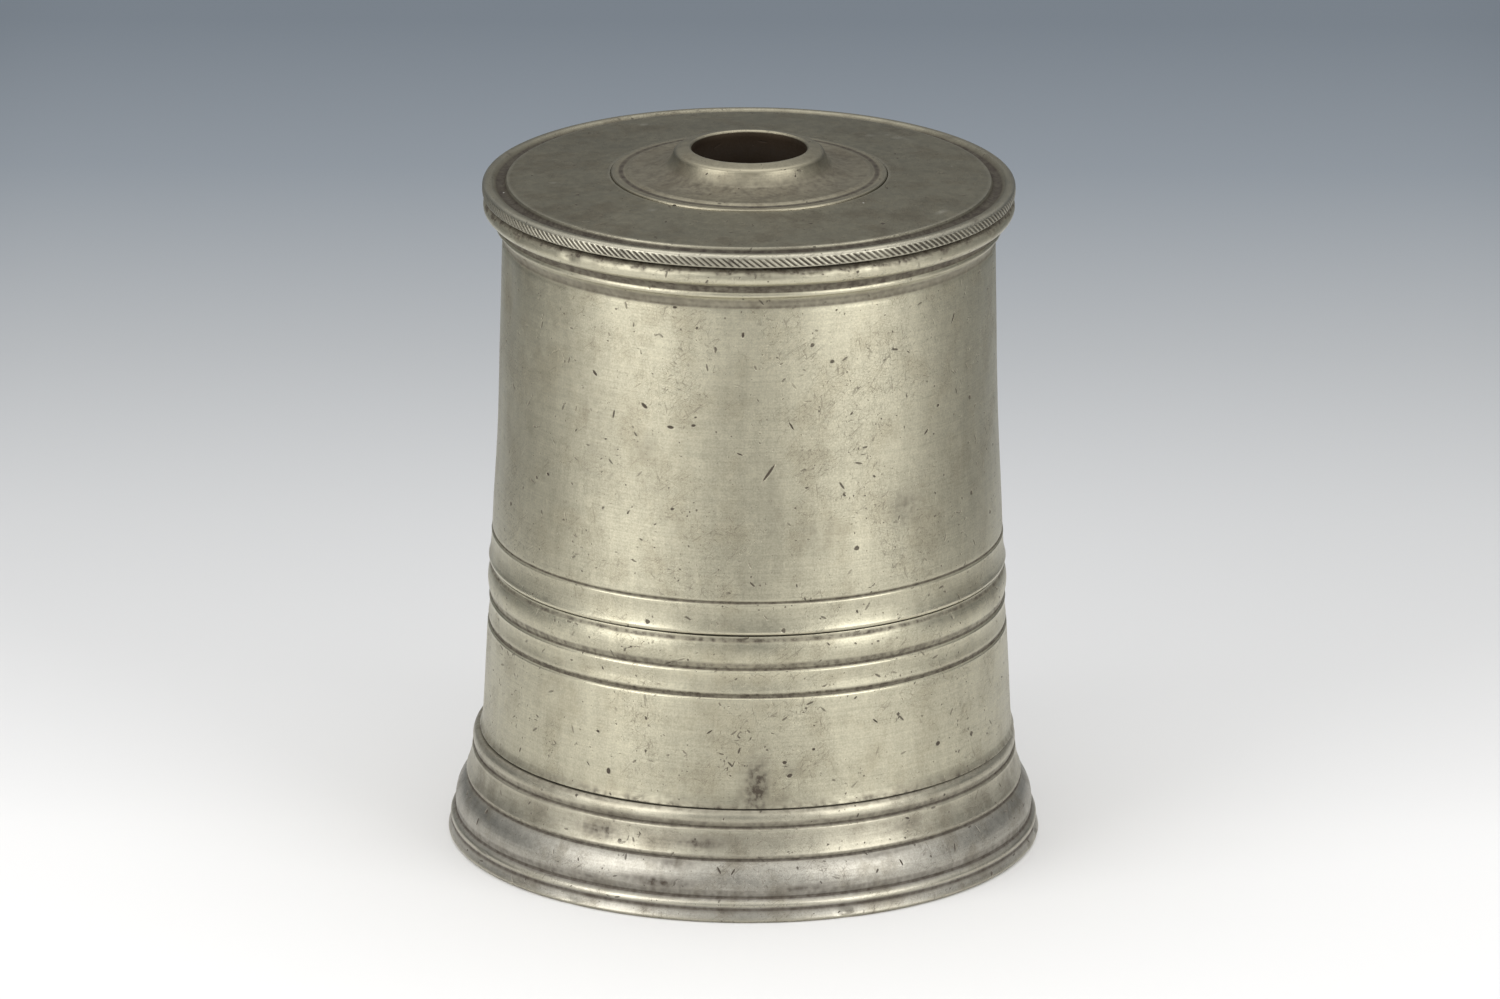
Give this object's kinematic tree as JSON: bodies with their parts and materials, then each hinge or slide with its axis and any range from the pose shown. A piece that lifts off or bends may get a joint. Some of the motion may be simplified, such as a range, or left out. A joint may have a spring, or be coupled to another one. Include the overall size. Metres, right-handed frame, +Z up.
{
  "type": "lidded pewter vessel",
  "caption": "Tapered drum-shaped pewter vessel on a moulded foot, with a loose flat lid that has a raised collar round a central opening.",
  "frame": {"origin": "centre of the foot, on the surface the vessel stands on", "axes": "+Z up along the vessel's axis; -Y is the side seen first; the vessel is round, so X and Y are free"},
  "size_m": [0.1304, 0.1304, 0.1563],
  "materials": {
    "drum": "polished pewter gone dull, pitted and scratched",
    "foot": "polished pewter, dark patina in the grooves",
    "inside": "unpolished dark pewter",
    "lid": "satin pewter with a dark olive patina",
    "solder": "dull soft solder"
  },
  "bodies": {
    "vessel": {"upper_drum": "drum", "lower_drum": "drum", "foot_skirt": "foot", "bottom_disc": "inside", "floor_solder": "solder", "foot_solder": "solder"},
    "lid": {"lid_plate": "lid", "lid_collar": "lid", "lid_bezel": "inside", "bezel_solder": "solder", "collar_solder": "solder"}
  },
  "joints": [
    {"name": "lid_lift", "type": "slide", "parent": "vessel", "child": "lid", "axis": [0, 0, 1], "range_m": [0, 0.06]}
  ]
}
